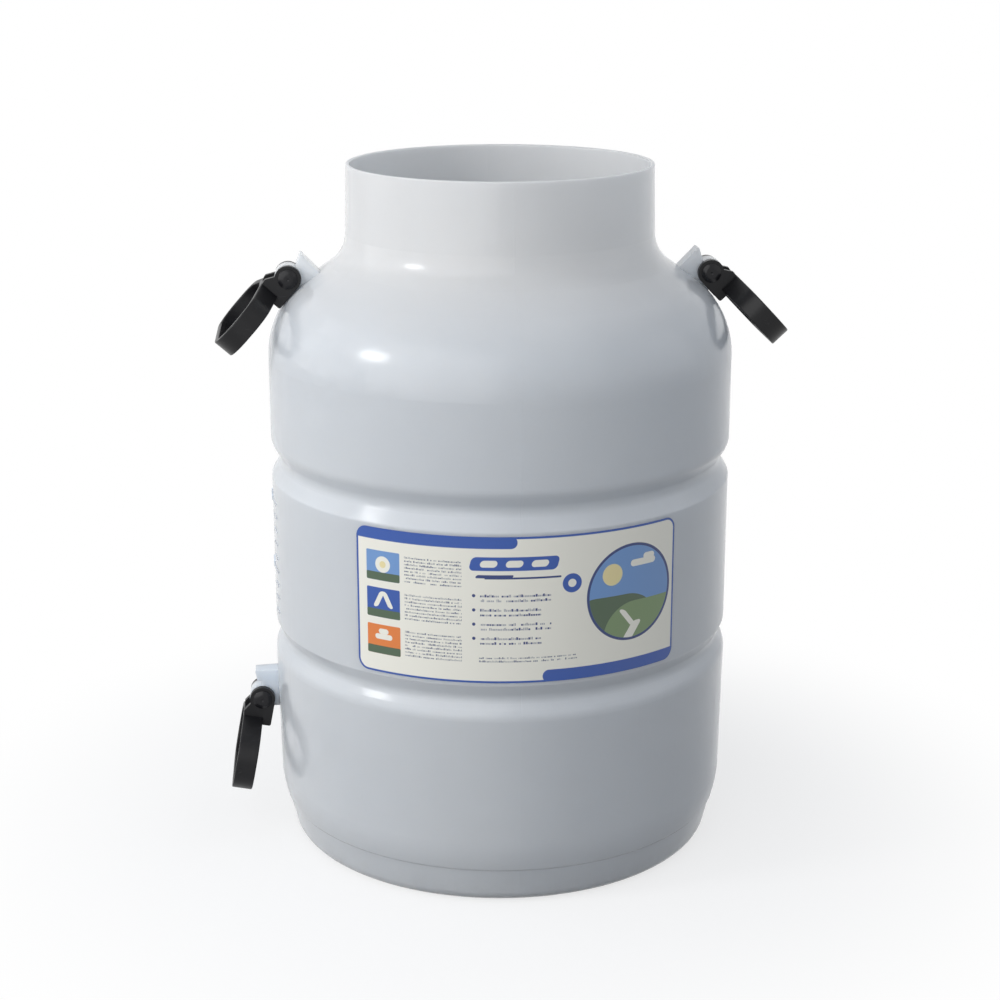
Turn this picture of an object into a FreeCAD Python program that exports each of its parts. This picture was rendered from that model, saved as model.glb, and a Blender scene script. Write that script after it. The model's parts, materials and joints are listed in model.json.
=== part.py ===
import FreeCAD, Part

import math
import os

from FreeCAD import Vector

# Open-mouthed plastic milk can of about forty litres, with three swing handles.
# Millimetres, +Z up. The origin is the centre of the base, the label and the mould seam face -Y,
# and the lugs stand on -X and +X.

# Heights of the can, stacked from the floor up to the mouth
STEP_HEIGHT = 28.0  # floor to the small step round the base
BASE_HEIGHT = 43.0  # floor to where the lower band begins
LOWER_BAND = 108.0
LOWER_GROOVE = 23.0
LABEL_PANEL = 113.0
UPPER_GROOVE = 27.0
UPPER_BAND = 98.0
SHOULDER_RISE = 42.5
NECK_HEIGHT = 65.5

# Outside radii of the can, with the rounding of each corner
PUSH_UP = 8.0  # hollow under the floor
PUSH_UP_RADIUS = 128.0
PUSH_UP_CORNER = 10.0
RING_INNER_RADIUS = 140.0  # the standing ring runs from here to the base corner
RING_CORNER = 6.0
BASE_RADIUS = 162.1
BASE_CORNER = 10.3
STEP_RADIUS = 168.8
STEP_DEPTH = 1.3
STEP_SLOPE = 1.5
BASE_TURN_RADIUS = 173.5
BASE_TURN_CORNER = 70.0
LOWER_BAND_RADIUS = 175.3
LOWER_BAND_CORNER = 15.0
LOWER_GROOVE_RADIUS = 168.5
LOWER_GROOVE_CORNER = 7.0
PANEL_RADIUS = 174.5
PANEL_FOOT_CORNER = 2.0
PANEL_HEAD_CORNER = 3.0
UPPER_GROOVE_RADIUS = 166.3
UPPER_GROOVE_CORNER = 8.0
UPPER_BAND_RADIUS = 174.5
UPPER_BAND_CORNER = 12.0
SHOULDER_CORNER = 66.0
NECK_FOOT_RADIUS = 115.6
NECK_FOOT_CORNER = 29.0
MOUTH_RADIUS = 114.1
MOUTH_CORNER = 1.2

WALL = 3.0

# Moulded level scale on the -X side of the label panel
SCALE_MARKS = 9
SCALE_LOWEST = 10.5  # panel foot to the first mark
SCALE_PITCH = 10.7  # one litre
SCALE_LONG_EVERY = 5
SCALE_LONG_FIRST = 3
SCALE_MARK_HEIGHT = 1.4
SCALE_MARK_RELIEF = 0.7
SCALE_MARK_ANGLE = 4.0
SCALE_LONG_ANGLE = 7.0
SCALE_START_ANGLE = 79.0  # from the front round towards -X

# Printed label, a thin film on the panel
LABEL_MARGIN = 2.75  # to the head and the foot of the panel
LABEL_HALF_ANGLE = 40.4
LABEL_THICKNESS = 0.3
LABEL_CORNER = 8.5

# Lugs, one piece with the can. Each has a block above a round knuckle.
LUG_WIDTH = 14.0
LUG_KNUCKLE_RADIUS = 10.0
LUG_EDGE = 0.8
SHOULDER_LUG_RUN = 45.0  # neck foot to pivot, along the shoulder
SHOULDER_LUG_STANDOFF = 10.5  # wall to pivot
BAND_LUG_HEIGHT = 105.3  # floor to pivot
BAND_LUG_STANDOFF = 13.0
# The blocks' outer corners, upper then lower: (up the wall from the pivot, out from the wall)
SHOULDER_BLOCK = ((18.5, 20.5), (9.7, 14.2))
SHOULDER_BLOCK_TOP = 21.8  # where the upper face meets the wall
BAND_BLOCK = ((22.0, 17.8), (13.9, 16.5))
BAND_BLOCK_TOP = 22.5

# Handles, three of one pattern: two cheeks, a yoke and a loop
CHEEK_CLEARANCE = 0.5  # lug to cheek, each side
CHEEK_THICKNESS = 4.5
CHEEK_BOSS_RADIUS = 9.8
CHEEK_REACH = 20.9  # pivot to the end of the cheek
CHEEK_END_CORNER = 12.0
HEEL_CORNER = 1.6
LOOP_REACH = 68.2  # pivot to the outside of the grip
LOOP_HALF_WIDTH = 47.6
LOOP_ROOT_HALF_WIDTH = 10.8
LOOP_FLARE_END = 26.6  # pivot to where the arms run parallel
LOOP_ROOT_CORNER = 3.0
LOOP_FLARE_CORNER = 20.0
LOOP_GRIP_CORNER = 21.5
LOOP_THICKNESS = 4.0
LOOP_EDGE = 0.9
BAND_INNER = -2.9  # the loop's depth, from the pivot towards the can
BAND_OUTER = 12.6  # and away from it
BAND_SLANT = 6.2  # run over which the cheek's upper edge slopes up to the loop
YOKE_CLEARANCE = 4.3  # knuckle to yoke
YOKE_THICKNESS = 4.0

# Pivot pins
PIN_RADIUS = 4.0
PIN_BORE_CLEARANCE = 0.05  # running in the lug
PIN_SEAT_CLEARANCE = 0.02  # seated in the cheeks
PIN_HEAD_RADIUS = 7.4
PIN_HEAD_HEIGHT = 2.2
PIN_DIMPLE_RADIUS = 1.1

# How far each handle droops below the wall's own line, in degrees
SHOULDER_LEFT_DROOP = 12.6
SHOULDER_RIGHT_DROOP = 10.8
BAND_LIFT = 12.1  # the low handle hangs this far out from its wall

# Heights that follow from the stack
PANEL_FOOT_Z = BASE_HEIGHT + LOWER_BAND + LOWER_GROOVE
PANEL_HEAD_Z = PANEL_FOOT_Z + LABEL_PANEL
SHOULDER_Z = PANEL_HEAD_Z + UPPER_GROOVE + UPPER_BAND
NECK_FOOT_Z = SHOULDER_Z + SHOULDER_RISE
MOUTH_Z = NECK_FOOT_Z + NECK_HEIGHT


def outside_corners():
    """The can's outside as (radius, height, corner rounding), from the middle of the floor to the mouth."""
    lower_groove_z = BASE_HEIGHT + LOWER_BAND + LOWER_GROOVE / 2
    upper_groove_z = PANEL_HEAD_Z + UPPER_GROOVE / 2
    return [
        (0.0, PUSH_UP, 0.0),
        (PUSH_UP_RADIUS, PUSH_UP, PUSH_UP_CORNER),
        (RING_INNER_RADIUS, 0.0, RING_CORNER),
        (BASE_RADIUS, 0.0, BASE_CORNER),
        (STEP_RADIUS, STEP_HEIGHT, 0.0),
        (STEP_RADIUS + STEP_DEPTH, STEP_HEIGHT + STEP_SLOPE, 0.0),
        (BASE_TURN_RADIUS, BASE_HEIGHT, BASE_TURN_CORNER),
        (LOWER_BAND_RADIUS, BASE_HEIGHT + LOWER_BAND, LOWER_BAND_CORNER),
        (LOWER_GROOVE_RADIUS, lower_groove_z, LOWER_GROOVE_CORNER),
        (PANEL_RADIUS, PANEL_FOOT_Z, PANEL_FOOT_CORNER),
        (PANEL_RADIUS, PANEL_HEAD_Z, PANEL_HEAD_CORNER),
        (UPPER_GROOVE_RADIUS, upper_groove_z, UPPER_GROOVE_CORNER),
        (UPPER_BAND_RADIUS, PANEL_HEAD_Z + UPPER_GROOVE, UPPER_BAND_CORNER),
        (UPPER_BAND_RADIUS, SHOULDER_Z, SHOULDER_CORNER),
        (NECK_FOOT_RADIUS, NECK_FOOT_Z, NECK_FOOT_CORNER),
        (MOUTH_RADIUS, MOUTH_Z, MOUTH_CORNER),
    ]


def unit(a, b):
    """Unit vector from point a to point b, both (x, y)."""
    length = math.hypot(b[0] - a[0], b[1] - a[1])
    return (b[0] - a[0]) / length, (b[1] - a[1]) / length


def offset_corners(corners, distance):
    """The open outline moved sideways to its left by distance, each rounding concentric with the old one."""
    moved = []
    last = len(corners) - 1
    for i, (x, y, rounding) in enumerate(corners):
        ahead = unit(corners[i], corners[i + 1]) if i < last else unit(corners[i - 1], corners[i])
        behind = unit(corners[i - 1], corners[i]) if i > 0 else ahead
        turn = behind[0] * ahead[1] - behind[1] * ahead[0]
        share = distance / (1 + behind[0] * ahead[0] + behind[1] * ahead[1])
        moved_x = x - (behind[1] + ahead[1]) * share
        moved_y = y + (behind[0] + ahead[0]) * share
        if rounding > 0:
            rounding = max(rounding - math.copysign(distance, turn), 0.0)
        moved.append((moved_x, moved_y, rounding))
    return moved


def rounded_wire(corners, place):
    """A closed wire of lines and arcs through the corners, each (x, y, rounding).

    It is set in space by place(x, y). Two roundings that would meet on a short side are both
    made smaller to share it.
    """
    count = len(corners)
    heading = [unit(corners[i], corners[(i + 1) % count]) for i in range(count)]
    turns = []
    for i in range(count):
        behind, ahead = heading[i - 1], heading[i]
        sine = behind[0] * ahead[1] - behind[1] * ahead[0]
        turns.append(abs(math.atan2(sine, behind[0] * ahead[0] + behind[1] * ahead[1])))
    wanted = [corners[i][2] * math.tan(turns[i] / 2) for i in range(count)]
    share = []
    for i in range(count):
        side = math.dist(corners[i][:2], corners[(i + 1) % count][:2])
        share.append(min(1.0, side / max(wanted[i] + wanted[(i + 1) % count], side)))
    ends = []
    edges = []
    for i, (x, y, rounding) in enumerate(corners):
        fit = min(share[i - 1], share[i])
        reach = wanted[i] * fit
        start = (x - heading[i - 1][0] * reach, y - heading[i - 1][1] * reach)
        end = (x + heading[i][0] * reach, y + heading[i][1] * reach)
        ends.append((start, end))
        if reach > 1e-6:
            chord_middle = ((start[0] + end[0]) / 2, (start[1] + end[1]) / 2)
            inward = unit((x, y), chord_middle)
            bow = rounding * fit * (1 / math.cos(turns[i] / 2) - 1)
            crown = (x + inward[0] * bow, y + inward[1] * bow)
            edges.append(Part.Arc(place(*start), place(*crown), place(*end)).toShape())
    for i in range(count):
        end, following = ends[i][1], ends[(i + 1) % count][0]
        if math.dist(end, following) > 1e-6:
            edges.append(Part.LineSegment(place(*end), place(*following)).toShape())
    return Part.Wire(Part.sortEdges(edges)[0])


def radial(r, z):
    """A point of the can's own section."""
    return Vector(r, 0, z)


def solid_of_turn(corners):
    """The closed section turned once round the can's axis."""
    return Part.Face(rounded_wire(corners, radial)).revolve(Vector(), Vector(0, 0, 1), 360)


def cylinder_between(radius, start, end):
    """A round bar with its axis from start to end."""
    along = end - start
    return Part.makeCylinder(radius, along.Length, start, along)


def can_shell():
    """The blow-moulded wall, the same thickness from floor to mouth."""
    outside = outside_corners()
    inside = offset_corners(outside, WALL)
    inside[-1] = (inside[-1][0], MOUTH_Z, MOUTH_CORNER)
    return solid_of_turn(outside + inside[::-1])


def scale_marks():
    """Raised level marks, each a short rib that follows the panel."""
    marks = []
    for i in range(SCALE_MARKS):
        z = PANEL_FOOT_Z + SCALE_LOWEST + i * SCALE_PITCH
        long_one = (i - SCALE_LONG_FIRST) % SCALE_LONG_EVERY == 0
        section = Part.Face(
            Part.makePolygon(
                [
                    Vector(PANEL_RADIUS - WALL / 2, 0, z - SCALE_MARK_HEIGHT / 2),
                    Vector(PANEL_RADIUS + SCALE_MARK_RELIEF, 0, z - SCALE_MARK_HEIGHT / 2),
                    Vector(PANEL_RADIUS + SCALE_MARK_RELIEF, 0, z + SCALE_MARK_HEIGHT / 2),
                    Vector(PANEL_RADIUS - WALL / 2, 0, z + SCALE_MARK_HEIGHT / 2),
                    Vector(PANEL_RADIUS - WALL / 2, 0, z - SCALE_MARK_HEIGHT / 2),
                ]
            )
        )
        section.rotate(Vector(), Vector(0, 0, 1), -90 - SCALE_START_ANGLE)
        angle = SCALE_LONG_ANGLE if long_one else SCALE_MARK_ANGLE
        marks.append(section.revolve(Vector(), Vector(0, 0, 1), -angle))
    return marks


class WallFrame:
    """A place on the can's section where a lug stands: runs go down the wall and outs stand away from it."""

    def __init__(self, foot, along, standoff, side):
        self.foot = foot
        self.along = along
        self.away = (-along[1], along[0])
        self.standoff = standoff
        self.side = side

    def point(self, run, out, y=0.0):
        """The point run down the wall and out from it, on the can's -X or +X side."""
        r = self.foot[0] + self.along[0] * run + self.away[0] * out
        z = self.foot[1] + self.along[1] * run + self.away[1] * out
        return Vector(self.side * r, y, z)

    def pivot(self, y=0.0):
        """The point of the handle's axis at y."""
        return self.point(0, self.standoff, y)


def shoulder_frame(side):
    """The shoulder lug's place on the cone between the neck and the upper band."""
    along = unit((NECK_FOOT_RADIUS, NECK_FOOT_Z), (UPPER_BAND_RADIUS, SHOULDER_Z))
    foot_r = NECK_FOOT_RADIUS + along[0] * SHOULDER_LUG_RUN
    foot_z = NECK_FOOT_Z + along[1] * SHOULDER_LUG_RUN
    return WallFrame((foot_r, foot_z), along, SHOULDER_LUG_STANDOFF, side)


def band_frame(side):
    """The low lug's place on the lower band."""
    along = unit((LOWER_BAND_RADIUS, BASE_HEIGHT + LOWER_BAND), (BASE_TURN_RADIUS, BASE_HEIGHT))
    foot_r = BASE_TURN_RADIUS - along[0] * (BAND_LUG_HEIGHT - BASE_HEIGHT) / -along[1]
    return WallFrame((foot_r, BAND_LUG_HEIGHT), along, BAND_LUG_STANDOFF, side)


def lug(frame, block_top, block_corners):
    """A lug: a leaning block, a round knuckle below it and the web that joins them to the wall."""
    root = -WALL / 2
    (upper_rise, upper_out), (lower_rise, lower_out) = block_corners
    block_outline = [
        (-block_top, root, 0),
        (-upper_rise, upper_out, LUG_EDGE),
        (-lower_rise, lower_out, LUG_EDGE),
        (-lower_rise, root, 0),
    ]
    web_half = LUG_KNUCKLE_RADIUS * math.sin(math.pi / 4)
    web_outline = [
        (-lower_rise - LUG_EDGE, root, 0),
        (-lower_rise - LUG_EDGE, frame.standoff, 0),
        (0, frame.standoff, 0),
        (web_half, frame.standoff - web_half, 0),
        (web_half, root, 0),
    ]
    across = Vector(0, LUG_WIDTH, 0)
    half = LUG_WIDTH / 2
    solids = [
        Part.Face(rounded_wire(outline, lambda run, out: frame.point(run, out, -half))).extrude(across)
        for outline in (block_outline, web_outline)
    ]
    knuckle = cylinder_between(LUG_KNUCKLE_RADIUS, frame.pivot(-half), frame.pivot(half))
    return knuckle.fuse(solids).removeSplitter()


def can_body(lugs, bores):
    """The can in one piece: wall, level marks and lugs, with a running bore through each lug."""
    body = can_shell().fuse(scale_marks() + lugs)
    return body.cut(bores).removeSplitter()


def front_label():
    """The printed film on the front of the panel, with round corners."""
    low = PANEL_FOOT_Z + LABEL_MARGIN
    high = PANEL_HEAD_Z - LABEL_MARGIN
    outer = PANEL_RADIUS + LABEL_THICKNESS
    section = Part.Face(
        rounded_wire(
            [(PANEL_RADIUS, low, 0), (outer, low, 0), (outer, high, 0), (PANEL_RADIUS, high, 0)], radial
        )
    )
    section.rotate(Vector(), Vector(0, 0, 1), -90 - LABEL_HALF_ANGLE)
    film = section.revolve(Vector(), Vector(0, 0, 1), 2 * LABEL_HALF_ANGLE)
    short_edges = [edge for edge in film.Edges if abs(edge.Length - LABEL_THICKNESS) < LABEL_THICKNESS / 10]
    return film.makeFillet(LABEL_CORNER, short_edges)


def loop_corners(inset, yoke_inset):
    """The loop's outline in (reach, y), inset from its outside, with its own inset at the yoke."""
    yoke_reach = LUG_KNUCKLE_RADIUS + YOKE_CLEARANCE
    flare = math.atan2(LOOP_HALF_WIDTH - LOOP_ROOT_HALF_WIDTH, LOOP_FLARE_END - yoke_reach)
    root_y = LOOP_ROOT_HALF_WIDTH + yoke_inset * math.tan(flare) - inset / math.cos(flare)
    flare_end = LOOP_FLARE_END + inset * math.tan(flare / 2)
    half = [
        (yoke_reach + yoke_inset, root_y, LOOP_ROOT_CORNER),
        (flare_end, LOOP_HALF_WIDTH - inset, LOOP_FLARE_CORNER - inset),
        (LOOP_REACH - inset, LOOP_HALF_WIDTH - inset, LOOP_GRIP_CORNER - inset),
    ]
    return half + [(d, -y, rounding) for d, y, rounding in reversed(half)]


def handle_loop():
    """The yoke and the loop in one band, with rounded rims."""
    depth = Vector(0, 0, BAND_OUTER - BAND_INNER)
    outline, hole = (
        Part.Face(rounded_wire(loop_corners(*insets), lambda d, y: Vector(d, y, BAND_INNER))).extrude(depth)
        for insets in ((0, 0), (LOOP_THICKNESS, YOKE_THICKNESS))
    )
    loop = outline.cut(hole)
    rims = [edge for edge in loop.Edges if edge.BoundBox.ZLength < LOOP_EDGE / 10]
    return loop.makeFillet(LOOP_EDGE, rims)


def handle_cheek(side):
    """The plate beside the lug on one side, with its round boss and square heel."""
    start = Vector(0, side * (LUG_WIDTH / 2 + CHEEK_CLEARANCE), 0)
    end = start + Vector(0, side * CHEEK_THICKNESS, 0)
    corners = [
        (0, -CHEEK_BOSS_RADIUS, 0),
        (CHEEK_REACH, -CHEEK_BOSS_RADIUS, HEEL_CORNER),
        (CHEEK_REACH, BAND_OUTER, CHEEK_END_CORNER),
        (CHEEK_BOSS_RADIUS / 2 + BAND_SLANT, BAND_OUTER, 0),
        (CHEEK_BOSS_RADIUS / 2, CHEEK_BOSS_RADIUS * math.cos(math.pi / 6), 0),
        (0, 0, 0),
    ]
    plate = Part.Face(rounded_wire(corners, lambda d, m: Vector(d, start.y, m))).extrude(end - start)
    return plate.fuse(cylinder_between(CHEEK_BOSS_RADIUS, start, end))


def handle_blank():
    """One handle about its pivot: X runs out to the grip, Y along the pivot and Z away from the can."""
    reach = Vector(0, LUG_WIDTH + CHEEK_THICKNESS, 0)
    bore = cylinder_between(PIN_RADIUS + PIN_SEAT_CLEARANCE, reach * -1, reach)
    return handle_loop().fuse([handle_cheek(-1), handle_cheek(1)]).cut(bore).removeSplitter()


def pin_blank():
    """One pivot pin about its own middle, with a domed head and a small dimple at each end."""
    head_seat = LUG_WIDTH / 2 + CHEEK_CLEARANCE + CHEEK_THICKNESS
    tip = head_seat + PIN_HEAD_HEIGHT
    shoulder = head_seat + PIN_HEAD_HEIGHT / 3
    dimple = PIN_DIMPLE_RADIUS / 2
    right = [
        (PIN_RADIUS, head_seat, 0),
        (PIN_HEAD_RADIUS, head_seat, 0),
        (PIN_HEAD_RADIUS, shoulder, 0.5),
        (PIN_HEAD_RADIUS * 0.62, tip, PIN_HEAD_RADIUS),
        (PIN_DIMPLE_RADIUS, tip, 0),
        (0, tip - dimple, 0),
    ]
    left = [(r, -y, rounding) for r, y, rounding in reversed(right)]
    section = Part.Face(rounded_wire(left + right, lambda r, y: Vector(r, y, 0)))
    return section.revolve(Vector(), Vector(0, 1, 0), 360)


def hang(shape, frame, droop):
    """A copy of a handle or pin blank at the frame's pivot, droop degrees below the wall's line."""
    slope = math.degrees(math.atan2(-frame.along[1], frame.along[0])) + droop
    placed = shape.copy()
    turn = FreeCAD.Rotation(Vector(0, 1, 0), slope)
    if frame.side < 0:
        turn = FreeCAD.Rotation(Vector(0, 0, 1), 180) * turn
    placed.Placement = FreeCAD.Placement(frame.pivot(), turn)
    return placed


def main():
    os.makedirs("parts", exist_ok=True)
    stations = {
        "shoulder_left": (shoulder_frame(-1), SHOULDER_LEFT_DROOP, SHOULDER_BLOCK_TOP, SHOULDER_BLOCK),
        "shoulder_right": (shoulder_frame(1), SHOULDER_RIGHT_DROOP, SHOULDER_BLOCK_TOP, SHOULDER_BLOCK),
        "low": (band_frame(-1), -BAND_LIFT, BAND_BLOCK_TOP, BAND_BLOCK),
    }
    lugs = [lug(frame, block_top, block) for frame, _, block_top, block in stations.values()]
    bores = [
        cylinder_between(PIN_RADIUS + PIN_BORE_CLEARANCE, frame.pivot(-LUG_WIDTH), frame.pivot(LUG_WIDTH))
        for frame, _, _, _ in stations.values()
    ]
    nodes = {"can_body": can_body(lugs, bores), "front_label": front_label()}
    handle = handle_blank()
    pin = pin_blank()
    for name, (frame, droop, _, _) in stations.items():
        nodes["handle_" + name] = hang(handle, frame, droop)
        nodes["pin_" + name] = hang(pin, frame, droop)
    for name, shape in nodes.items():
        (solid,) = shape.Solids
        solid.exportStep("parts/" + name + ".step")
        print(name, "valid", solid.isValid(), "volume", round(solid.Volume))
    for name, (frame, _, _, _) in stations.items():
        print("pivot", name, frame.pivot())


main()
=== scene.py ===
"""Looks of an open plastic milk can: its milky wall, printed label, level numbers and black handles."""

import json
import logging
import math
from dataclasses import dataclass, field
from enum import Enum
from typing import Callable, Iterable, Optional, Union

import bpy
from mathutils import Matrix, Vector

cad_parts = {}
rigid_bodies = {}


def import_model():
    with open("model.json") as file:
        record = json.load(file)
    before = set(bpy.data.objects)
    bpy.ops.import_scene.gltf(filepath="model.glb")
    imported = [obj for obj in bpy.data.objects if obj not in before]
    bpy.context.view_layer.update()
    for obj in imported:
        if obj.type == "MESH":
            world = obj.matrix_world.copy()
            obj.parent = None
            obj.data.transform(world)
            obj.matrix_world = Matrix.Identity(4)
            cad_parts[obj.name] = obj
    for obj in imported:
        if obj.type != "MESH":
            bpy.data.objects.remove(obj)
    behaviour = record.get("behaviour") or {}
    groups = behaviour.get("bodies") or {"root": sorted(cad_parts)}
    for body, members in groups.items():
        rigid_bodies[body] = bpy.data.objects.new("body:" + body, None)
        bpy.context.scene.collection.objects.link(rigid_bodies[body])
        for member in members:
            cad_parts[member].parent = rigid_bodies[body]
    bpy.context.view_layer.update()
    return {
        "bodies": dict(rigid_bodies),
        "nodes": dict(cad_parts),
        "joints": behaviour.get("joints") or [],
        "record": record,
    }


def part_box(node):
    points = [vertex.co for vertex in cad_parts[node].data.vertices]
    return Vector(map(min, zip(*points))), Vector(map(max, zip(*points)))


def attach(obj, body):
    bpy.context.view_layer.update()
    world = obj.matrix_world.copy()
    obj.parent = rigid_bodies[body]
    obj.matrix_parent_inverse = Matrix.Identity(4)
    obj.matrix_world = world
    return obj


log = logging.getLogger("milk_can")

Colour = tuple[float, float, float]
Axes = tuple[float, float, float]
Span = tuple[float, float]
Socket = bpy.types.NodeSocket
Feed = Union[Socket, float]
MILLIMETRE = 0.001
SAME_PLACE = 0.00001
FRONT = -math.pi / 2


class Glow(Enum):
    """The kinds of ray that meet the white background in place of the light round the can."""

    CAMERA = "Is Camera Ray"
    GLOSSY = "Is Glossy Ray"
    THROUGH = "Is Transmission Ray"


class Side(Enum):
    """The two arms of a handle: the one towards the front and the one towards the back."""

    NEAR = -1
    FAR = 1


def srgb(red: int, green: int, blue: int) -> Colour:
    """A screen colour, 0 to 255 a channel, as linear light.

    Args:
        red: Red channel.
        green: Green channel.
        blue: Blue channel.

    Returns:
        The linear colour.
    """

    def linear(channel: int) -> float:
        """One channel as linear light."""
        share = channel / 255
        return share / 12.92 if share <= 0.04045 else ((share + 0.055) / 1.055) ** 2.4

    return linear(red), linear(green), linear(blue)


class Board:
    """A node tree with short ways to lay and link its nodes."""

    def __init__(self, tree: bpy.types.NodeTree) -> None:
        """Wraps a tree.

        Args:
            tree: A material's, world's or group's node tree.
        """
        self.tree = tree

    def node(self, kind: str, **settings: object) -> bpy.types.Node:
        """Adds a node.

        Args:
            kind: The node's type name.
            **settings: Attributes to set on it.

        Returns:
            The new node.
        """
        made = self.tree.nodes.new(kind)
        for name, value in settings.items():
            setattr(made, name, value)
        return made

    def feed(self, target: Socket, source: Union[Feed, Colour]) -> None:
        """Links a socket to a source, or sets it to a constant.

        Args:
            target: The input socket.
            source: Another node's output, a number or a colour.
        """
        if isinstance(source, bpy.types.NodeSocket):
            self.tree.links.new(source, target)
        elif isinstance(source, tuple):
            target.default_value = (*source, 1.0) if len(target.default_value) == 4 else source
        else:
            target.default_value = source

    def math(self, operation: str, *sources: Feed) -> Socket:
        """Lays a Math node.

        Args:
            operation: Its operation.
            *sources: Its inputs.

        Returns:
            Its value.
        """
        made = self.node("ShaderNodeMath", operation=operation)
        for target, source in zip(made.inputs, sources):
            self.feed(target, source)
        return made.outputs[0]

    def ramp(
        self, value: Feed, low: Feed, high: Feed, to_low: Feed = 0.0, to_high: Feed = 1.0
    ) -> Socket:
        """Turns a value from one range into another, with a soft start and end.

        Args:
            value: What is read.
            low: Where the source range starts.
            high: Where it ends.
            to_low: What it gives at the start.
            to_high: What it gives at the end.

        Returns:
            The mapped value.
        """
        made = self.node("ShaderNodeMapRange", interpolation_type="SMOOTHSTEP")
        names = ("Value", "From Min", "From Max", "To Min", "To Max")
        for name, source in zip(names, (value, low, high, to_low, to_high)):
            self.feed(made.inputs[name], source)
        return made.outputs["Result"]

    def mix(self, share: Feed, first: Union[Socket, Colour], second: Union[Socket, Colour]) -> Socket:
        """Mixes two colours.

        Args:
            share: How much of the second one, 0 to 1.
            first: The ground.
            second: What lies over it.

        Returns:
            The mixed colour.
        """
        made = self.node("ShaderNodeMix", data_type="RGBA")
        self.feed(made.inputs[0], share)
        self.feed(made.inputs[6], first)
        self.feed(made.inputs[7], second)
        return made.outputs[2]

    def noise(self, vector: Socket, scale: Feed, detail: float = 3.0, roughness: float = 0.5) -> Socket:
        """Lays a noise pattern.

        Args:
            vector: Where it is read.
            scale: How fine it is, per metre.
            detail: Its octaves.
            roughness: How strong the fine ones are.

        Returns:
            Its value, about 0 to 1.
        """
        made = self.node("ShaderNodeTexNoise")
        names = ("Vector", "Scale", "Detail", "Roughness")
        for name, source in zip(names, (vector, scale, detail, roughness)):
            self.feed(made.inputs[name], source)
        return made.outputs["Fac"]

    def stretched(self, vector: Socket, scale: Axes) -> Socket:
        """Scales each axis of a place, for patterns that run one way.

        Args:
            vector: The place.
            scale: The scale along X, Y and Z.

        Returns:
            The scaled place.
        """
        made = self.node("ShaderNodeMapping")
        self.feed(made.inputs["Vector"], vector)
        made.inputs["Scale"].default_value = scale
        return made.outputs["Vector"]

    def place(self) -> Socket:
        """The object's own coordinates."""
        return self.node("ShaderNodeTexCoord").outputs["Object"]

    def split(self, vector: Socket) -> tuple[Socket, Socket, Socket]:
        """Takes a place apart.

        Args:
            vector: The place.

        Returns:
            Its X, Y and Z.
        """
        made = self.node("ShaderNodeSeparateXYZ")
        self.feed(made.inputs[0], vector)
        return made.outputs[0], made.outputs[1], made.outputs[2]

    def bump(self, height: Socket, depth: float, normal: Optional[Socket] = None) -> Socket:
        """Lays a bump.

        Args:
            height: The relief, 0 to 1.
            depth: How deep 1 is, in metres.
            normal: A bump laid before it.

        Returns:
            The bent normal.
        """
        made = self.node("ShaderNodeBump")
        made.inputs["Distance"].default_value = depth
        self.feed(made.inputs["Height"], height)
        if normal is not None:
            self.feed(made.inputs["Normal"], normal)
        return made.outputs["Normal"]

    def group(self, tree: bpy.types.NodeTree, **sources: Feed) -> bpy.types.Node:
        """Places a shared group.

        Args:
            tree: The group.
            **sources: Its inputs by name, with _ for a space.

        Returns:
            The group's node.
        """
        made = self.node("ShaderNodeGroup", node_tree=tree)
        for name, source in sources.items():
            self.feed(made.inputs[name.replace("_", " ")], source)
        return made


GroupStart = tuple[Board, bpy.types.Node, bpy.types.Node]


def shared_group(name: str, takes: Iterable[str], gives: Iterable[str]) -> GroupStart:
    """Starts a shader group whose sockets are all plain values, but for one named Place.

    Args:
        name: The group's name.
        takes: Names of its inputs.
        gives: Names of its outputs.

    Returns:
        Its board, its input node and its output node.
    """
    tree = bpy.data.node_groups.new(name, "ShaderNodeTree")
    for socket_name, way in [(n, "INPUT") for n in takes] + [(n, "OUTPUT") for n in gives]:
        kind = "NodeSocketVector" if socket_name == "Place" else "NodeSocketFloat"
        tree.interface.new_socket(name=socket_name, in_out=way, socket_type=kind)
    board = Board(tree)
    return board, board.node("NodeGroupInput"), board.node("NodeGroupOutput")


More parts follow.
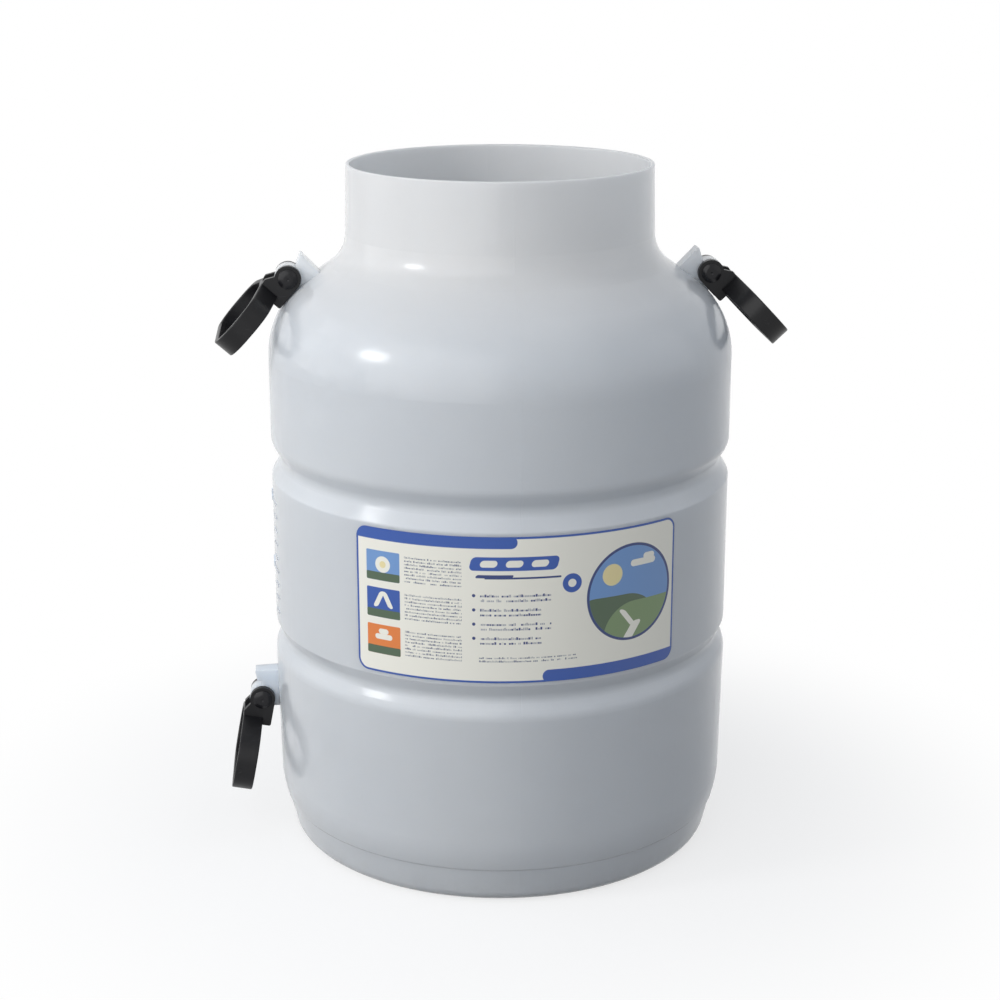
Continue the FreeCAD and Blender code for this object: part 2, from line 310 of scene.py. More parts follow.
@dataclass
class SharedEffects:
    """The effects that the finishes share, each built once.

    A row of small print is one high and a letter one wide, so their spans are shares of these.
    """

    print_edge: float = 0.00015
    row_foot: Span = (0.20, 0.24)
    low_top: float = 0.58
    tall_top: float = 0.78
    tall_letters: Span = (0.70, 0.72)
    word_gaps: Span = (0.13, 0.15)
    letter_side: Span = (0.42, 0.36)
    open_letters: Span = (0.40, 0.42)
    eye_side: Span = (0.20, 0.14)
    slow_grain: float = 24.0
    fine_share: float = 0.35
    gloss_change: Span = (0.3, 0.7)
    scuff_ways: tuple[Axes, ...] = ((1.0, 1.0, 14.0), (11.0, 9.0, 1.0))
    scuff_line: Span = (0.68, 0.74)
    scuff_breaks: Span = (0.52, 0.62)
    scuff_break_size: float = 3.0

    def __post_init__(self) -> None:
        """Builds the groups."""
        self.patch = self._patch()
        self.rows = self._rows()
        self.grain = self._grain()
        self.scuffs = self._scuffs()

    def _patch(self) -> bpy.types.NodeTree:
        """A printed patch: 1 inside a rectangle with round corners, which may lean or be a disc.

        Returns:
            The group.
        """
        takes = ("U", "V", "Centre U", "Centre V", "Half Width", "Half Height", "Corner", "Lean")
        board, given, result = shared_group("Printed patch", takes, ("Mask",))
        get = given.outputs
        along = board.math("SUBTRACT", get["U"], get["Centre U"])
        up = board.math("SUBTRACT", get["V"], get["Centre V"])
        along = board.math("SUBTRACT", along, board.math("MULTIPLY", up, get["Lean"]))
        far = []
        for offset, half in ((along, get["Half Width"]), (up, get["Half Height"])):
            inner = board.math("SUBTRACT", half, get["Corner"])
            far.append(board.math("SUBTRACT", board.math("ABSOLUTE", offset), inner))
        outside = [board.math("MAXIMUM", edge, 0.0) for edge in far]
        squares = [board.math("MULTIPLY", edge, edge) for edge in outside]
        reach = board.math("SQRT", board.math("ADD", *squares))
        inside = board.math("MINIMUM", board.math("MAXIMUM", *far), 0.0)
        distance = board.math("SUBTRACT", board.math("ADD", reach, inside), get["Corner"])
        board.feed(result.inputs["Mask"], board.ramp(distance, self.print_edge, -self.print_edge))
        return board.tree

    def _rows(self) -> bpy.types.NodeTree:
        """Rows of small printed marks of two heights, which stand for lines of small print.

        Returns:
            The group.
        """
        takes = ("U", "V", "Row Pitch", "Letter Pitch", "Seed")
        board, given, result = shared_group("Rows of small print", takes, ("Mask",))
        get = given.outputs
        rows = board.math("DIVIDE", get["V"], get["Row Pitch"])
        cells = board.math("DIVIDE", get["U"], get["Letter Pitch"])
        in_row, in_cell = board.math("FRACT", rows), board.math("FRACT", cells)
        chance = board.node("ShaderNodeTexWhiteNoise", noise_dimensions="2D")
        join = board.node("ShaderNodeCombineXYZ")
        board.feed(join.inputs["X"], board.math("FLOOR", cells))
        board.feed(join.inputs["Y"], board.math("ADD", board.math("FLOOR", rows), get["Seed"]))
        board.feed(chance.inputs["Vector"], join.outputs["Vector"])
        word, tall, open_form = board.split(chance.outputs["Color"])
        top = board.ramp(tall, *self.tall_letters, self.low_top, self.tall_top)
        above_foot = board.ramp(in_row, *self.row_foot)
        line = board.math("MULTIPLY", above_foot, board.math("LESS_THAN", in_row, top))
        from_middle = board.math("ABSOLUTE", board.math("SUBTRACT", in_cell, 0.5))
        in_letter = board.ramp(from_middle, *self.letter_side)
        body = board.math("MULTIPLY", in_letter, board.ramp(word, *self.word_gaps))
        in_eye = board.ramp(from_middle, *self.eye_side)
        eye = board.math("MULTIPLY", in_eye, board.ramp(open_form, *self.open_letters))
        letter = board.math("MULTIPLY", body, board.math("SUBTRACT", 1.0, eye))
        board.feed(result.inputs["Mask"], board.math("MULTIPLY", line, letter))
        return board.tree

    def _grain(self) -> bpy.types.NodeTree:
        """The fine unevenness of a moulded skin, as a relief and a slow change of gloss.

        Returns:
            The group.
        """
        board, given, result = shared_group("Moulded grain", ("Place", "Fineness"), ("Relief", "Gloss"))
        place, fineness = given.outputs["Place"], given.outputs["Fineness"]
        fine = board.noise(place, fineness, detail=4.0, roughness=0.6)
        coarser = board.math("DIVIDE", fineness, self.slow_grain)
        slow = board.noise(place, coarser, detail=2.0, roughness=0.45)
        fine_relief = board.math("MULTIPLY", fine, self.fine_share)
        slow_relief = board.math("MULTIPLY", slow, 1.0 - self.fine_share)
        board.feed(result.inputs["Relief"], board.math("ADD", fine_relief, slow_relief))
        board.feed(result.inputs["Gloss"], board.ramp(slow, *self.gloss_change))
        return board.tree

    def _scuffs(self) -> bpy.types.NodeTree:
        """Light handling scratches: thin broken lines in two directions.

        Returns:
            The group.
        """
        board, given, result = shared_group("Handling scuffs", ("Place", "Fineness"), ("Mask",))
        place, fineness = given.outputs["Place"], given.outputs["Fineness"]
        strokes = []
        for way in self.scuff_ways:
            line = board.noise(board.stretched(place, way), fineness, detail=2.0, roughness=0.6)
            strokes.append(board.ramp(line, *self.scuff_line))
        coarser = board.math("DIVIDE", fineness, self.scuff_break_size)
        broken = board.ramp(board.noise(place, coarser, detail=2.0), *self.scuff_breaks)
        either = board.math("MAXIMUM", *strokes)
        board.feed(result.inputs["Mask"], board.math("MULTIPLY", either, broken))
        return board.tree


def new_material(name: str) -> tuple[bpy.types.Material, Board, bpy.types.Node]:
    """A material with nothing but its Principled shader.

    Args:
        name: The material's name.

    Returns:
        The material, its board and its shader node.
    """
    material = bpy.data.materials.new(name)
    material.use_nodes = True
    material.node_tree.nodes.clear()
    board = Board(material.node_tree)
    shader = board.node("ShaderNodeBsdfPrincipled")
    output = board.node("ShaderNodeOutputMaterial")
    board.feed(output.inputs["Surface"], shader.outputs["BSDF"])
    return material, board, shader


@dataclass(frozen=True)
class MilkyPlastic:
    """Blow-moulded white polyethylene that lets light through, with a cut rim and a mould seam.

    Cloud is the share of light that goes into the wall, and light reach how far it then spreads.
    """

    name: str = "milky plastic"
    tint: Colour = srgb(219, 226, 234)
    shade: Colour = srgb(213, 220, 229)
    shade_scale: float = 7.0
    shade_edges: Span = (0.3, 0.7)
    shade_share: float = 0.8
    # Painted light: the neck is tinted lighter and warmer, standing in for warm light coming through
    # the neck.
    neck_painted_light: Colour = srgb(228, 229, 229)
    neck_heights: Span = (0.40, 0.47)
    # Painted shade: the wall is darkened towards the bottom of the foot, broken up by noise.
    painted_foot_shade: Colour = srgb(197, 201, 205)
    foot_height: float = 0.030
    foot_shade_scale: float = 60.0
    rim_cut: float = 0.0008
    rim_roughness: float = 0.25
    gloss: float = 0.15
    dull: float = 0.22
    shine: float = 0.36
    cloud: float = 0.8
    light_reach: float = 0.015
    reach_by_colour: Colour = (0.9, 0.95, 1.0)
    grain_fineness: float = 420.0
    grain_depth: float = 0.00004
    scuff_fineness: float = 26.0
    scuff_roughness: float = 0.04
    wave_scale: float = 22.0
    wave_depth: float = 0.0008
    drag_scale: float = 110.0
    drag_depth: float = 0.00012
    seam_half_width: float = 0.0008
    seam_rise: float = 0.00006

    def material(self, effects: SharedEffects) -> bpy.types.Material:
        """Builds the material.

        Args:
            effects: The shared groups.

        Returns:
            The finished material.
        """
        made, board, shader = new_material(self.name)
        place = board.place()
        across, _, height = board.split(place)
        grain = board.group(effects.grain, Place=place, Fineness=self.grain_fineness)
        board.feed(shader.inputs["Base Color"], self._colour(board, place, height))
        scuffs = board.group(effects.scuffs, Place=place, Fineness=self.scuff_fineness)
        rough = board.ramp(grain.outputs["Gloss"], 0.0, 1.0, self.gloss, self.dull)
        rubbed = board.math("MULTIPLY", scuffs.outputs["Mask"], self.scuff_roughness)
        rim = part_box("can_body")[1].z - self.rim_cut
        cut_edge = board.ramp(height, rim, rim + self.rim_cut / 2)
        sawn = board.math("MULTIPLY", cut_edge, self.rim_roughness)
        rough = board.math("ADD", board.math("ADD", rough, rubbed), sawn)
        board.feed(shader.inputs["Roughness"], rough)
        normal = self._relief(board, place, across)
        normal = board.bump(grain.outputs["Relief"], self.grain_depth, normal)
        board.feed(shader.inputs["Normal"], normal)
        shader.inputs["Subsurface Weight"].default_value = self.cloud
        shader.inputs["Subsurface Radius"].default_value = self.reach_by_colour
        shader.inputs["Subsurface Scale"].default_value = self.light_reach
        shader.inputs["Specular IOR Level"].default_value = self.shine
        return made

    def _colour(self, board: Board, place: Socket, height: Socket) -> Socket:
        """The wall's colour: slow clouds, a neck painted lighter and warmer as painted light, and
        painted shade at the foot, broken up by noise.

        Args:
            board: The material's board.
            place: The object's coordinates.
            height: Their Z.

        Returns:
            The colour.
        """
        cloud = board.ramp(board.noise(place, self.shade_scale), *self.shade_edges)
        colour = board.mix(board.math("MULTIPLY", cloud, self.shade_share), self.tint, self.shade)
        # Painted light: the wall blends into a lighter, warmer neck tint over neck_heights.
        colour = board.mix(board.ramp(height, *self.neck_heights), colour, self.neck_painted_light)
        # Painted shade: a noise mask darkens the wall over the lowest foot_height, strongest at the
        # bottom.
        foot_shade_mask = board.noise(place, self.foot_shade_scale, detail=5.0, roughness=0.7)
        foot_shade_mask = board.math("MULTIPLY", board.ramp(height, self.foot_height, 0.0), foot_shade_mask)
        return board.mix(foot_shade_mask, colour, self.painted_foot_shade)

    def _relief(self, board: Board, place: Socket, across: Socket) -> Socket:
        """The wall's slow waves, its mould seam front and back, and upright lines from blowing.

        Args:
            board: The material's board.
            place: The object's coordinates.
            across: Their X.

        Returns:
            The bent normal.
        """
        waves = board.noise(board.stretched(place, (0.5, 0.5, 1.0)), self.wave_scale, detail=1.0)
        normal = board.bump(waves, self.wave_depth)
        seam = board.ramp(board.math("ABSOLUTE", across), self.seam_half_width, 0.0)
        normal = board.bump(seam, self.seam_rise, normal)
        drag = board.noise(board.stretched(place, (1.0, 1.0, 0.06)), self.drag_scale, detail=2.0)
        return board.bump(drag, self.drag_depth, normal)


@dataclass(frozen=True)
class BlackPlastic:
    """Injection-moulded black plastic of the handles and pins: a fine grain and light rub marks."""

    name: str
    tint: Colour = srgb(22, 22, 24)
    worn: Colour = srgb(56, 56, 59)
    rub: float = 0.55
    rub_roughness: float = 0.2
    rough: float = 0.38
    rough_change: float = 0.06
    shine: float = 0.27
    grain_fineness: float = 900.0
    grain_depth: float = 0.00006
    scuff_fineness: float = 70.0

    def material(self, effects: SharedEffects) -> bpy.types.Material:
        """Builds the material.

        Args:
            effects: The shared groups.

        Returns:
            The finished material.
        """
        made, board, shader = new_material(self.name)
        place = board.place()
        grain = board.group(effects.grain, Place=place, Fineness=self.grain_fineness)
        scuffs = board.group(effects.scuffs, Place=place, Fineness=self.scuff_fineness)
        rubbed = board.math("MULTIPLY", scuffs.outputs["Mask"], self.rub)
        board.feed(shader.inputs["Base Color"], board.mix(rubbed, self.tint, self.worn))
        ends = (self.rough - self.rough_change, self.rough + self.rough_change)
        rough = board.ramp(grain.outputs["Gloss"], 0.0, 1.0, *ends)
        rough = board.math("ADD", rough, board.math("MULTIPLY", rubbed, self.rub_roughness))
        board.feed(shader.inputs["Roughness"], rough)
        board.feed(shader.inputs["Normal"], board.bump(grain.outputs["Relief"], self.grain_depth))
        shader.inputs["Specular IOR Level"].default_value = self.shine
        return made


@dataclass(frozen=True)
class Patch:
    """One flat printed shape of the label: millimetres from its left edge and its foot.

    It leans by a share of its height, and shows only within another patch where one is given.
    """

    u: float
    v: float
    wide: float
    high: float
    ink: Colour
    corner: float = 0.0
    lean: float = 0.0
    inside: Optional["Patch"] = None


@dataclass(frozen=True)
class Print:
    """A block of small print: the patch it fills, with its rows and letters in millimetres."""

    area: Patch
    row: float = 2.5
    letter: float = 1.15
    seed: float = 0.0


Shape = Union[Patch, Print]


@dataclass(frozen=True)
class LabelInk:
    """The printed film of the front panel: blue, cream and a few colour fields, with no words."""

    width: float = 246.3
    height: float = 107.5
    border: float = 1.5
    border_corner: float = 7.0
    blue: Colour = srgb(44, 84, 165)
    navy: Colour = srgb(36, 56, 112)
    cream: Colour = srgb(242, 240, 229)
    green: Colour = srgb(122, 146, 104)
    deep_green: Colour = srgb(72, 94, 70)
    butter: Colour = srgb(236, 222, 168)
    sky: Colour = srgb(112, 152, 205)
    orange: Colour = srgb(226, 128, 62)
    ink: Colour = srgb(96, 104, 128)
    gloss: float = 0.30
    dull: float = 0.40
    coat: float = 0.3
    coat_roughness: float = 0.15
    ripple_scale: float = 45.0
    ripple_depth: float = 0.0003
    grain_fineness: float = 500.0
    grain_depth: float = 0.00002

    def patches(self) -> list[Shape]:
        """Lists the label's shapes.

        Returns:
            The shapes, from the ground up.
        """
        wide, high = self.width - 2 * self.border, self.height - 2 * self.border
        shapes: list[Shape] = [
            Patch(self.width / 2, self.height / 2, wide, high, self.cream, self.border_corner),
            Patch(58, 103.5, 116, 9, self.blue),
            Patch(112, 103.5, 16, 9, self.blue, 4.4),
            Patch(196, 4.2, 104, 9.4, self.blue),
            Patch(146, 4.2, 16, 9.4, self.blue, 4.6),
        ]
        shapes += self._picture() + self._heading() + self._steps()
        return shapes

    @staticmethod
    def _mask(board: Board, effects: SharedEffects, area: Patch, u: Socket, v: Socket) -> Socket:
        """The mask of one patch.

        Args:
            board: The material's board.
            effects: The shared groups.
            area: The patch.
            u: Metres from the label's left edge.
            v: Metres from its foot.

        Returns:
            1 inside the patch.
        """
        made = board.group(
            effects.patch,
            U=u,
            V=v,
            Centre_U=area.u * MILLIMETRE,
            Centre_V=area.v * MILLIMETRE,
            Half_Width=area.wide / 2 * MILLIMETRE,
            Half_Height=area.high / 2 * MILLIMETRE,
            Corner=area.corner * MILLIMETRE,
            Lean=area.lean,
        )
        return made.outputs["Mask"]

    def _picture(self) -> list[Shape]:
        """A round window on the right: a low sun and a cloud over two hills and a winding stream.

        Returns:
            Its shapes.
        """
        window = Patch(206, 59, 68, 68, self.sky, 34)
        return [
            Patch(206, 59, 72, 72, self.navy, 36),
            window,
            Patch(190, 74, 16, 16, self.butter, 8),
            Patch(216, 80, 22, 5, self.cream, 2.5),
            Patch(221, 83.5, 10, 5, self.cream, 2.5),
            Patch(190, 30, 80, 56, self.deep_green, 28, inside=window),
            Patch(228, 26, 90, 52, self.green, 26, inside=window),
            Patch(203, 40, 5, 14, self.cream, 2.5, lean=-0.8, inside=window),
            Patch(206, 29, 8, 16, self.cream, 3, lean=0.7, inside=window),
        ]

    def _heading(self) -> list[Shape]:
        """The middle: a bold bar over a swelling line, and rows of small print with round marks.

        Returns:
            Its shapes.
        """
        shapes: list[Shape] = [Patch(118, 88, 62, 10, self.blue, 3.5, lean=0.25)]
        shapes += [Patch(u, 88, 12, 5, self.cream, 2.5, lean=0.25) for u in (100, 118, 136)]
        shapes += [
            Patch(124, 77.6, 54, 1.4, self.navy, 0.7),
            Patch(104, 78.8, 26, 2.4, self.navy, 1.2, lean=0.6),
            Patch(159, 72, 14, 14, self.blue, 7),
            Patch(159, 72, 6, 6, self.cream, 3),
            Print(Patch(128, 17.5, 70, 5, self.ink), seed=5),
        ]
        for i, (v, wide) in enumerate(((63.0, 50), (52.5, 43), (42.0, 50), (31.5, 43))):
            shapes.append(Patch(89.5, v + 1.8, 2.4, 2.4, self.navy, 1.2))
            line = Patch(94 + wide / 2, v, wide, 7, self.navy)
            shapes.append(Print(line, row=3.5, letter=1.7, seed=7 * i))
        return shapes

    def _steps(self) -> list[Shape]:
        """The left: three small colour fields with simple shapes, each with rows of small print.

        Returns:
            Its shapes.
        """
        shapes: list[Shape] = []
        for i, (v, ground) in enumerate(((80.0, self.sky), (52.5, self.blue), (25.0, self.orange))):
            shapes += [
                Patch(22, v, 27, 22, ground, 1),
                Patch(22, v - 8, 27, 6, self.deep_green, 1),
                Print(Patch(60, v, 42, 20, self.ink), seed=11 + i),
            ]
        shapes += [
            Patch(22, 81, 12, 12, self.cream, 6),
            Patch(22, 81, 5, 5, self.butter, 2.5),
            Patch(18.5, 55, 4, 12, self.cream, 2, lean=0.5),
            Patch(25.5, 55, 4, 12, self.cream, 2, lean=-0.5),
            Patch(22, 27, 14, 4, self.cream, 2),
            Patch(22, 31, 8, 4, self.cream, 2),
        ]
        return shapes

    def material(self, effects: SharedEffects) -> bpy.types.Material:
        """Builds the material.

        Args:
            effects: The shared groups.

        Returns:
            The finished material.
        """
        made, board, shader = new_material("printed label")
        place = board.place()
        board.feed(shader.inputs["Base Color"], self._printed(board, effects, place))
        grain = board.group(effects.grain, Place=place, Fineness=self.grain_fineness)
        rough = board.ramp(grain.outputs["Gloss"], 0.0, 1.0, self.gloss, self.dull)
        board.feed(shader.inputs["Roughness"], rough)
        upright = board.stretched(place, (1.0, 1.0, 0.25))
        normal = board.bump(board.noise(upright, self.ripple_scale, detail=2.0), self.ripple_depth)
        normal = board.bump(grain.outputs["Relief"], self.grain_depth, normal)
        board.feed(shader.inputs["Normal"], normal)
        shader.inputs["Coat Weight"].default_value = self.coat
        shader.inputs["Coat Roughness"].default_value = self.coat_roughness
        return made

    def _printed(self, board: Board, effects: SharedEffects, place: Socket) -> Socket:
        """Prints all the shapes over each other on the film's bend.

        Args:
            board: The material's board.
            effects: The shared groups.
            place: The object's coordinates.

        Returns:
            The colour.
        """
        low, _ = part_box("front_label")
        x, y, z = board.split(place)
        angle = board.math("ARCTAN2", x, board.math("MULTIPLY", y, -1.0))
        u = board.math("ADD", board.math("MULTIPLY", angle, -low.y), self.width / 2 * MILLIMETRE)
        v = board.math("SUBTRACT", z, low.z)
        colour: Union[Socket, Colour] = self.blue
        for shape in self.patches():
            area = shape.area if isinstance(shape, Print) else shape
            mask = self._mask(board, effects, area, u, v)
            if area.inside:
                mask = board.math("MULTIPLY", mask, self._mask(board, effects, area.inside, u, v))
            if isinstance(shape, Print):
                pitch = {"Row_Pitch": shape.row * MILLIMETRE, "Letter_Pitch": shape.letter * MILLIMETRE}
                rows = board.group(effects.rows, U=u, V=v, Seed=shape.seed, **pitch)
                mask = board.math("MULTIPLY", mask, rows.outputs["Mask"])
            colour = board.mix(mask, colour, area.ink)
        return colour


def dress(piece: bpy.types.Object, material: bpy.types.Material) -> None:
    """Gives a piece one material in place of all it had."""
    piece.data.materials.clear()
    piece.data.materials.append(material)


def start_shape(name: str) -> bpy.types.Object:
    """Names the primitive that was just added.

    Args:
        name: The piece's name.

    Returns:
        The active object.
    """
    piece = bpy.context.object
    piece.name = name
    piece.data.name = name
    return piece


def settle(piece: bpy.types.Object) -> None:
    """Moves a piece's place, turn and scale into its mesh.

    Args:
        piece: The piece, which is left alone selected.
    """
    bpy.ops.object.select_all(action="DESELECT")
    piece.select_set(True)
    bpy.context.view_layer.objects.active = piece
    bpy.ops.object.transform_apply(location=True, rotation=True, scale=True)


def in_edit_mode(piece: bpy.types.Object, work: Callable[[], object]) -> None:
    """Runs operators in edit mode with the whole mesh selected.

    Args:
        piece: The piece to work on.
        work: What calls the operators.
    """
    bpy.ops.object.select_all(action="DESELECT")
    piece.select_set(True)
    bpy.context.view_layer.objects.active = piece
    bpy.ops.object.mode_set(mode="EDIT")
    bpy.ops.mesh.select_all(action="SELECT")
    work()
    bpy.ops.object.mode_set(mode="OBJECT")


def apply_modifier(piece: bpy.types.Object, kind: str, **settings: object) -> None:
    """Adds a modifier and applies it.

    Args:
        piece: The piece to change.
        kind: The modifier's type.
        **settings: Attributes to set on it.
    """
    bpy.context.view_layer.objects.active = piece
    modifier = piece.modifiers.new(kind.title(), kind)
    for name, value in settings.items():
        setattr(modifier, name, value)
    bpy.ops.object.modifier_apply(modifier=modifier.name)


@dataclass
class CanShell:
    """The blow-moulded can: its wall and the raised numbers of the level scale.

    The scale starts so many degrees to the left of the front, and a long mark is so many degrees
    long. A number ends before it, by a gap in radians.
    """

    frame: dict
    finish: MilkyPlastic = field(default_factory=MilkyPlastic)
    number_finish: MilkyPlastic = field(
        default_factory=lambda: MilkyPlastic("milky plastic, numbers", cloud=0.0)
    )
    panel_radius: float = 0.1745
    number_size: float = 0.0105
    number_rise: float = 0.0007
    number_bevel: float = 0.00015
    number_gap: float = 0.010
    scale_start: float = 79.0
    long_mark: float = 7.0
    numbers: tuple[tuple[str, float], ...] = (("20", 0.2166), ("25", 0.2701))

    def build(self, effects: SharedEffects) -> list[bpy.types.Object]:
        """Dresses the wall and makes what stands on it.

        Args:
            effects: The shared groups.

        Returns:
            The pieces made.
        """
        dress(self.frame["nodes"]["can_body"], self.finish.material(effects))
        numbers = self.number_finish.material(effects)
        made = [self._number(text, height) for text, height in self.numbers]
        for piece in made:
            dress(piece, numbers)
            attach(piece, "can")
        return made

    def _number(self, text: str, height: float) -> bpy.types.Object:
        """A raised number beside its long level mark.

        Args:
            text: The number.
            height: The level mark's height.

        Returns:
            The number's mesh, bent to the panel.
        """
        bpy.ops.object.select_all(action="DESELECT")
        bpy.ops.object.text_add()
        words = bpy.context.object
        words.data.body = text
        words.data.size = self.number_size
        words.data.align_x = "RIGHT"
        words.data.align_y = "CENTER"
        words.data.extrude = self.number_rise
        words.data.bevel_depth = self.number_bevel
        bpy.ops.object.convert(target="MESH")
        piece = start_shape("level_number_" + text)
        in_edit_mode(piece, lambda: bpy.ops.mesh.remove_doubles(threshold=SAME_PLACE))
        end = FRONT - math.radians(self.scale_start + self.long_mark) - self.number_gap
        for vertex in piece.data.vertices:
            along, up, out = vertex.co
            angle = end + along / self.panel_radius
            radius = self.panel_radius + out
            vertex.co = Vector((radius * math.cos(angle), radius * math.sin(angle), height + up))
        return piece


@dataclass
class FrontLabel:
    """The printed film on the front panel."""

    frame: dict
    ink: LabelInk = field(default_factory=LabelInk)

    def build(self, effects: SharedEffects) -> list[bpy.types.Object]:
        """Dresses the film; it makes no pieces."""
        dress(self.frame["nodes"]["front_label"], self.ink.material(effects))
        return []


@dataclass
class SwingHandles:
    """The three handles with their pins, and the ejector marks moulded into their arms.

    A mark's ring and slope are shares of its radius, and its sink is a share of its rise.
    """

    frame: dict
    grip_finish: BlackPlastic = field(default_factory=lambda: BlackPlastic("black handle plastic"))
    pin_finish: BlackPlastic = field(
        default_factory=lambda: BlackPlastic("black pin plastic", srgb(25, 25, 28), rough=0.19)
    )
    mark_radius: float = 0.0021
    mark_rise: float = 0.00018
    mark_sides: int = 40
    mark_reach: float = 0.0475
    mark_offset: float = 0.00144
    mark_ring: float = 0.22
    mark_slope: float = 0.12
    mark_sink: float = 0.8
    mark_edge: float = 0.00005

    def build(self, effects: SharedEffects) -> list[bpy.types.Object]:
        """Dresses handles and pins and makes the ejector marks.

        Args:
            effects: The shared groups.

        Returns:
            The marks.
        """
        grip, pin = self.grip_finish.material(effects), self.pin_finish.material(effects)
        made: list[bpy.types.Object] = []
        for joint in self.frame["joints"]:
            body = joint["child"]
            members = self.frame["record"]["behaviour"]["bodies"][body]
            for node in members:
                dress(self.frame["nodes"][node], pin if node.startswith("pin") else grip)
            handle = next(node for node in members if node.startswith("handle"))
            for side in Side:
                mark = self._mark(handle, Vector(joint["pos_m"]), side)
                dress(mark, grip)
                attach(mark, body)
                made.append(mark)
        return made

    def _mark(self, handle: str, pivot: Vector, side: Side) -> bpy.types.Object:
        """A small round ejector mark on the outer face of one arm.

        Args:
            handle: The handle's node.
            pivot: The joint's place.
            side: Which arm.

        Returns:
            The mark.
        """
        low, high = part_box(handle)
        outward = math.copysign(1.0, pivot.x)
        tip = Vector(((high.x if outward > 0 else low.x) - pivot.x, 0.0, low.z - pivot.z))
        reach = tip.normalized()
        across = Vector((-reach.z * outward, 0.0, reach.x * outward))
        spot = pivot + reach * self.mark_reach + across * self.mark_offset
        spot.y = side.value * high.y
        bpy.ops.object.select_all(action="DESELECT")
        bpy.ops.mesh.primitive_cylinder_add(
            vertices=self.mark_sides,
            radius=self.mark_radius,
            depth=2 * self.mark_rise,
            location=spot,
            rotation=(math.pi / 2 * -side.value, 0.0, 0.0),
        )
        piece = start_shape(f"{handle}_mark_{side.name.lower()}")
        settle(piece)

        def hollow() -> None:
            """Sinks the disc's outer face inside a thin ring."""
            mesh = bpy.context.edit_object.data
            bpy.ops.object.mode_set(mode="OBJECT")
            for face in mesh.polygons:
                face.select = face.normal.y * side.value > 0.9
            bpy.ops.object.mode_set(mode="EDIT")
            bpy.ops.mesh.select_mode(type="FACE")
            bpy.ops.mesh.inset(thickness=self.mark_radius * self.mark_ring)
            sink = self.mark_rise * self.mark_sink
            bpy.ops.mesh.inset(thickness=self.mark_radius * self.mark_slope, depth=-sink)

        in_edit_mode(piece, hollow)
        apply_modifier(piece, "BEVEL", width=self.mark_edge, segments=2)
        return piece


@dataclass(frozen=True)
class SoftLamp:
    """A square-cornered soft lamp: degrees to the left of the front, degrees up, and its size."""

    name: str
    left: float
    up: float
    size: tuple[float, float]
    watts: float
    distance: float = 2.4

    def hang(self, aim: Vector) -> bpy.types.Object:
        """Hangs the lamp.

        Args:
            aim: What it points at.

        Returns:
            The lamp.
        """
        data = bpy.data.lights.new(self.name, "AREA")
        data.shape = "RECTANGLE"
        data.size, data.size_y = self.size
        data.energy = self.watts
        lamp = bpy.data.objects.new(self.name, data)
        bpy.context.scene.collection.objects.link(lamp)
        left, up = math.radians(self.left), math.radians(self.up)
        way = Vector((-math.sin(left) * math.cos(up), -math.cos(left) * math.cos(up), math.sin(up)))
        lamp.location = aim + way * self.distance
        lamp.rotation_euler = (-way).to_track_quat("-Z", "Y").to_euler()
        return lamp


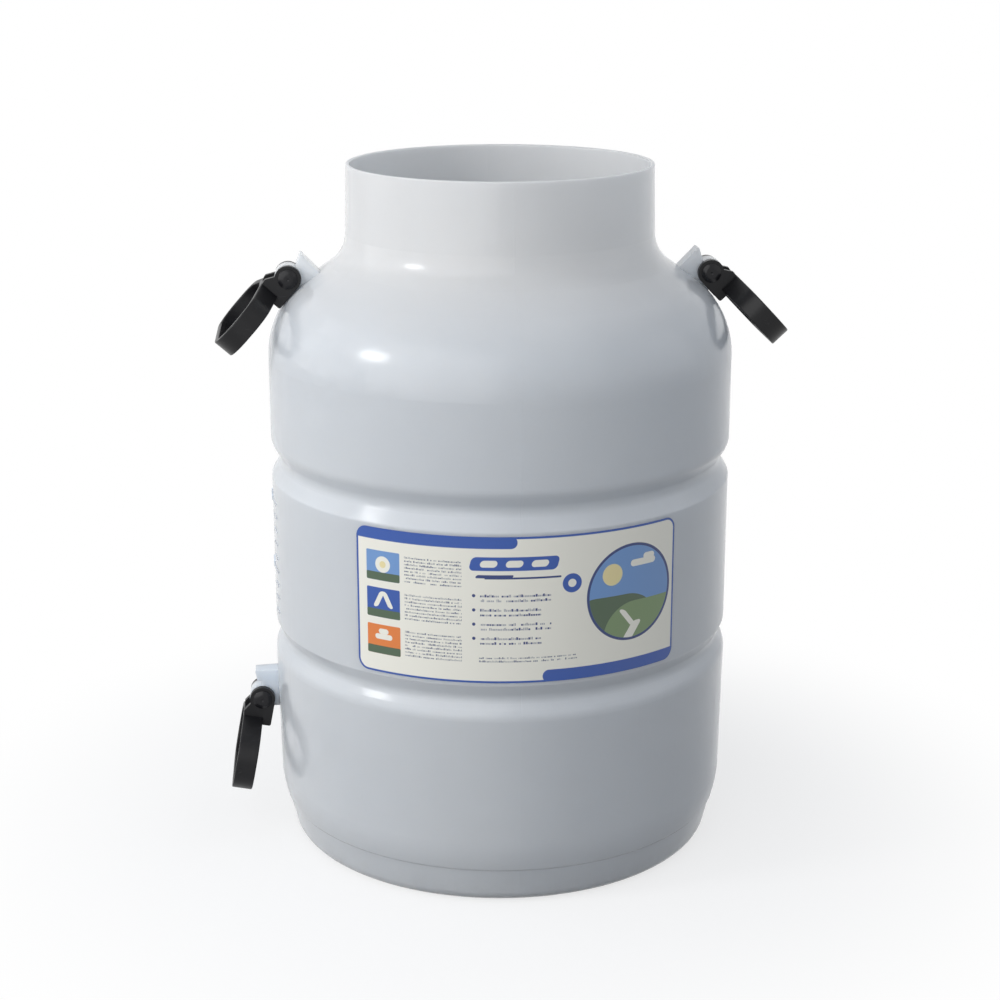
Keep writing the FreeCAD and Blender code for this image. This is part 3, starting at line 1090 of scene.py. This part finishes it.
@dataclass
class Studio:
    """A floor and a surrounding that are seen as white, soft lamps and the camera."""

    white: Colour = (1.0, 1.0, 1.0)
    floor_size: float = 7.0
    floor_tint: Colour = srgb(70, 70, 71)
    floor_seen: Colour = srgb(250, 250, 250)
    floor_roughness: float = 0.9
    shadow_ends: Span = (0.2, 0.5)
    glow_shares: Span = (0.7, 1.0)
    sky_tint: Colour = (0.62, 0.66, 0.72)
    sky_light: float = 0.62
    aim: Axes = (0.0, 0.0, 0.28)
    lamps: tuple[SoftLamp, ...] = (
        SoftLamp("key", 72.0, 28.0, (0.50, 0.32), 11.0),
        SoftLamp("window", 39.0, 20.0, (3.4, 2.8), 46.0, 2.6),
        SoftLamp("side", 97.0, 18.0, (1.8, 1.8), 8.5),
        SoftLamp("front_fill", -42.0, 20.0, (1.6, 1.6), 1.5),
        SoftLamp("right_fill", -85.0, 20.0, (1.4, 1.4), 3.0),
    )
    camera_place: Axes = (-0.1315, -1.5027, 0.7040)
    camera_way: Axes = (0.0836, 0.9556, -0.2826)
    lens: float = 73.12

    def build(self) -> None:
        """Makes the floor, the world, the lamps and the camera."""
        self._floor()
        self._world()
        for lamp in self.lamps:
            lamp.hang(Vector(self.aim))
        self._camera()
        bpy.context.scene.view_settings.view_transform = "Standard"

    def _floor(self) -> None:
        """A large floor, grey to the can's underside and white to the eye beyond the can's shadow."""
        bpy.ops.object.select_all(action="DESELECT")
        bpy.ops.mesh.primitive_plane_add(size=self.floor_size)
        floor = start_shape("floor")
        material, board, shader = new_material("floor")
        shader.inputs["Roughness"].default_value = self.floor_roughness
        shader.inputs["Specular IOR Level"].default_value = 0.0
        x, y, _ = board.split(board.place())
        squares = [board.math("MULTIPLY", side, side) for side in (x, y)]
        reach = board.math("SQRT", board.math("ADD", *squares))
        seen = self._seen(board)
        board.feed(shader.inputs["Base Color"], board.mix(seen, self.floor_tint, self.floor_seen))
        glow = board.node("ShaderNodeEmission")
        board.feed(glow.inputs["Color"], self.white)
        far = board.ramp(reach, *self.shadow_ends, *self.glow_shares)
        blend = board.node("ShaderNodeMixShader")
        board.feed(blend.inputs[0], board.math("MULTIPLY", seen, far))
        board.feed(blend.inputs[1], shader.outputs["BSDF"])
        board.feed(blend.inputs[2], glow.outputs["Emission"])
        output = next(node for node in board.tree.nodes if node.type == "OUTPUT_MATERIAL")
        board.feed(output.inputs["Surface"], blend.outputs["Shader"])
        dress(floor, material)

    @staticmethod
    def _seen(board: Board) -> Socket:
        """Tells the rays that see the background from the light that falls on the can.

        Args:
            board: The board of the floor or the world.

        Returns:
            1 for a ray of any kind in Glow, 0 for the others.
        """
        path = board.node("ShaderNodeLightPath")
        share: Feed = 0.0
        for kind in Glow:
            share = board.math("MAXIMUM", share, path.outputs[kind.value])
        return share

    def _world(self) -> None:
        """A white background over a soft, cool surrounding light."""
        world = bpy.data.worlds.new("studio")
        bpy.context.scene.world = world
        world.use_nodes = True
        world.node_tree.nodes.clear()
        board = Board(world.node_tree)
        seen = self._seen(board)
        background = board.node("ShaderNodeBackground")
        board.feed(background.inputs["Color"], board.mix(seen, self.sky_tint, self.white))
        board.feed(background.inputs["Strength"], board.ramp(seen, 0.0, 1.0, self.sky_light, 1.0))
        output = board.node("ShaderNodeOutputWorld")
        board.feed(output.inputs["Surface"], background.outputs["Background"])

    def _camera(self) -> None:
        """Sets the camera in front, a little to the left and above."""
        data = bpy.data.cameras.new("camera")
        data.lens = self.lens
        camera = bpy.data.objects.new("camera", data)
        bpy.context.scene.collection.objects.link(camera)
        camera.location = self.camera_place
        camera.rotation_euler = Vector(self.camera_way).to_track_quat("-Z", "Y").to_euler()
        bpy.context.scene.camera = camera


def main() -> None:
    """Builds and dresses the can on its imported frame."""
    logging.basicConfig(level=logging.INFO, format="%(name)s: %(message)s")
    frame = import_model()
    effects = SharedEffects()
    for part in (CanShell(frame), FrontLabel(frame), SwingHandles(frame)):
        for piece in part.build(effects):
            log.info("%s: %d faces", piece.name, len(piece.data.polygons))
    Studio().build()


if __name__ == "__main__":
    main()
